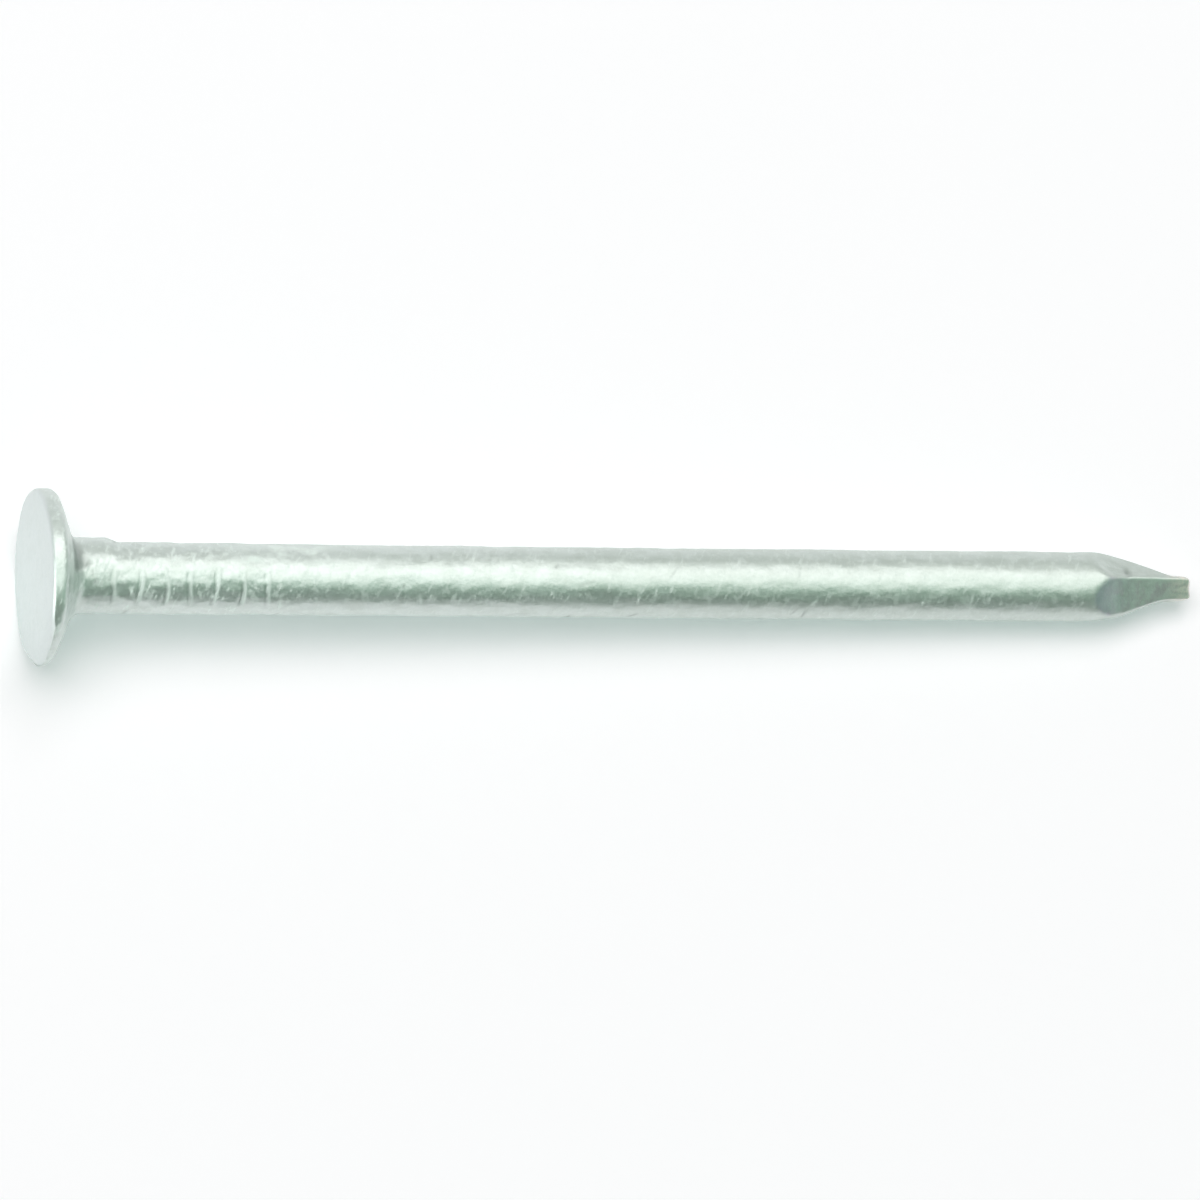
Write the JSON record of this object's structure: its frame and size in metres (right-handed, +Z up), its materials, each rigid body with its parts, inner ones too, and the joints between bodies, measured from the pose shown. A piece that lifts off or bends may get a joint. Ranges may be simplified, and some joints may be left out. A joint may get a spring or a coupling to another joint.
{
  "type": "round wire nail",
  "caption": "Zinc-coated round wire nail with a flat round head, plain shank and blunt diamond point, for fixing wood.",
  "frame": {"origin": "centre of the bounding box's underside, on the surface that the nail lies on", "axes": "+X along the nail's length as it lies, from the head towards the point; +Z up. The nail's own axis dips 2.8 degrees below +X, because it rests on the rim of its head and on the shoulder of its point"},
  "size_m": [0.0446, 0.0066, 0.0066],
  "materials": {
    "bare_steel": "sheared low-carbon steel, dull and slightly brown",
    "zinc": "hot-dip zinc, bright satin with a lumpy skin and fine scratches"
  },
  "bodies": {
    "root": {"steel_blank": "bare_steel", "zinc_coating": "zinc"}
  },
  "joints": []
}
